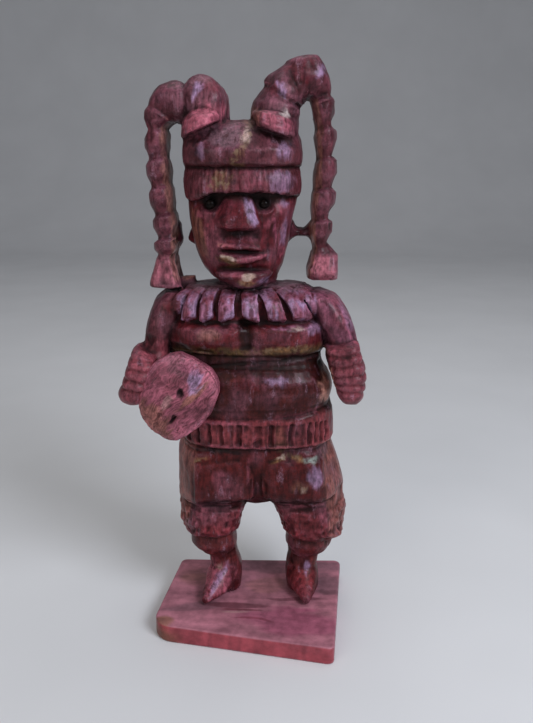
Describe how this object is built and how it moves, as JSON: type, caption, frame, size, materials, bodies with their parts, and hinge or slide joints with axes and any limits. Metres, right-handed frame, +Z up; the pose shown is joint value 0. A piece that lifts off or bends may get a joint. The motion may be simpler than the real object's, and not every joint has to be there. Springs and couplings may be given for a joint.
{
  "type": "fetish carving",
  "caption": "Small standing figure carved in purple shell, with two drooping plaits, a petal collar and a belt, holding an oval disc at its hip, on a separate slab plinth.",
  "frame": {"origin": "middle of the plinth's flat underside", "axes": "+Z up through the figure, the figure faces -Y, and +X is to the right of someone who looks at its face"},
  "size_m": [0.0339, 0.023, 0.0798],
  "materials": {
    "shell_maroon": "polished dark maroon and purple shell with fine pale fibres and gold-brown matrix veins",
    "shell_pink": "polished dusty pink shell with dark pits and slanting fibres",
    "shell_plinth": "satin mauve-pink shell with wavy growth bands and a coral-red front edge",
    "jet": "glossy black inlay"
  },
  "bodies": {
    "root": {"figure": "shell_maroon", "plinth": "shell_plinth", "disc": "shell_pink", "eye_left": "jet", "eye_right": "jet"}
  },
  "joints": []
}
